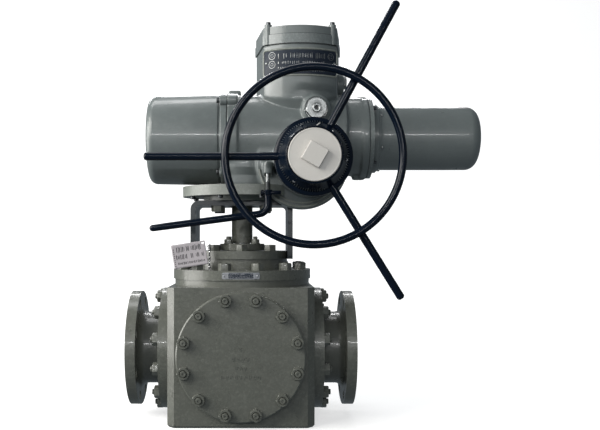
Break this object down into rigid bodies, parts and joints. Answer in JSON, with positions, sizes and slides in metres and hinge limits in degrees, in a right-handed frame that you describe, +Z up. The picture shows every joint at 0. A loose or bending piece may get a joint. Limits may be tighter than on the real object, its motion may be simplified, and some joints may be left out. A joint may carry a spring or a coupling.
{
  "type": "motorized valve actuator",
  "caption": "Motor-operated cube-body ball valve: electric quarter-turn actuator with handwheel and clutch lever on a plate yoke above flanged pipe ports.",
  "frame": {"origin": "centre of the valve body underside, on the stem axis", "axes": "+Z up along the stem, -Y towards the handwheel side, +X towards the motor"},
  "size_m": [0.855, 0.551, 0.9645],
  "materials": {
    "valve_paint": "glossy olive-grey machinery paint",
    "actuator_paint": "glossy grey enamel",
    "base_paint": "pale grey enamel",
    "yoke_paint": "dark grey enamel",
    "black_paint": "glossy blue-black enamel",
    "cream_plastic": "smooth moulded cap",
    "bright_steel": "turned steel",
    "dark_steel": "oiled steel",
    "ball_steel": "polished stainless steel",
    "bronze": "machined bronze",
    "ptfe": "sintered PTFE",
    "graphite": "braided graphite",
    "nameplate": "printed metal plate",
    "bare_plate": "etched metal plate",
    "tag_plastic": "printed card tag",
    "tag_wire": "twisted bright wire",
    "copper": "varnished winding",
    "board": "circuit board",
    "terminal": "moulded terminal block"
  },
  "bodies": {
    "output": {"valve_ball": "ball_steel", "valve_stem": "ball_steel", "stem_sleeve": "valve_paint", "drive_sleeve": "dark_steel", "worm_wheel": "bronze"},
    "worm": {"worm_shaft": "dark_steel", "worm_shaft_gear": "dark_steel", "bevel_gear": "dark_steel"},
    "motor_armature": {"motor_rotor": "dark_steel", "motor_pinion": "dark_steel"},
    "hand_pinion": {"bevel_pinion": "dark_steel"},
    "handwheel": {"handwheel_shaft": "dark_steel", "handwheel_hub": "black_paint", "handwheel_rim": "black_paint", "handwheel_bars": "black_paint", "handwheel_cap": "cream_plastic"},
    "clutch": {"clutch_sleeve": "dark_steel"},
    "lever": {"clutch_lever": "black_paint", "lever_pivot": "bright_steel"},
    "housing": {"adapter_nuts": "valve_paint", "bonnet": "valve_paint", "bonnet_nameplate": "bare_plate", "bonnet_nuts": "valve_paint", "conduit_plugs": "bright_steel", "control_board": "board", "control_cover": "actuator_paint", "control_cover_screws": "dark_steel", "drive_base": "base_paint", "drive_base_screws": "dark_steel", "drive_sleeve_bearings": "dark_steel", "front_blind_cover": "valve_paint", "front_cover_nuts": "valve_paint", "gear_housing": "actuator_paint", "gland_flange": "valve_paint", "gland_nuts": "valve_paint", "handwheel_bush": "bronze", "inspection_tag": "tag_plastic", "left_port_adapter": "valve_paint", "lower_trunnion": "dark_steel", "motor_adapter": "actuator_paint", "motor_bearings": "dark_steel", "motor_bolts": "dark_steel", "motor_housing": "actuator_paint", "motor_stator": "copper", "packing_rings": "graphite", "rear_port_adapter": "valve_paint", "right_port_adapter": "valve_paint", "seat_rings": "ptfe", "stem_bush": "bronze", "tag_tie": "tag_wire", "terminal_block": "terminal", "terminal_cover": "actuator_paint", "terminal_cover_screws": "dark_steel", "terminal_nameplate": "nameplate", "valve_body": "valve_paint", "vent_plug": "bright_steel", "worm_shaft_bearings": "dark_steel", "yoke_bracket": "yoke_paint", "yoke_foot_bolts": "valve_paint", "yoke_top_bolts": "valve_paint"}
  },
  "joints": [
    {"name": "valve_turn", "type": "hinge", "parent": "housing", "child": "output", "pos_m": [0, 0, 0.165], "axis": [0, 0, 1], "range_deg": [-90, 0]},
    {"name": "worm_turn", "type": "hinge", "parent": "housing", "child": "worm", "pos_m": [0, 0.05, 0.6173], "axis": [1, 0, 0], "range_deg": [-5400, 0]},
    {"name": "motor_turn", "type": "hinge", "parent": "housing", "child": "motor_armature", "pos_m": [0.3, 0, 0.684], "axis": [1, 0, 0], "range_deg": [0, 7425]},
    {"name": "hand_pinion_turn", "type": "hinge", "parent": "housing", "child": "hand_pinion", "pos_m": [0.1627, 0.024, 0.6173], "axis": [0, 1, 0], "range_deg": [0, 5400]},
    {"name": "handwheel_turn", "type": "hinge", "parent": "housing", "child": "handwheel", "pos_m": [0.1627, -0.222, 0.6173], "axis": [0, 1, 0], "continuous": true},
    {"name": "lever_turn", "type": "hinge", "parent": "housing", "child": "lever", "pos_m": [0.062, -0.147, 0.541], "axis": [0, 0, 1], "range_deg": [-14, 0]},
    {"name": "clutch_slide", "type": "slide", "parent": "handwheel", "child": "clutch", "axis": [0, 1, 0], "range_m": [0, 0.0081]}
  ],
  "couplings": [
    {"joint": "worm_turn", "follows": "valve_turn", "ratio": 60},
    {"joint": "motor_turn", "follows": "valve_turn", "ratio": -82.5},
    {"joint": "hand_pinion_turn", "follows": "valve_turn", "ratio": -60},
    {"joint": "clutch_slide", "follows": "lever_turn", "m_per_rad": -0.03274}
  ]
}
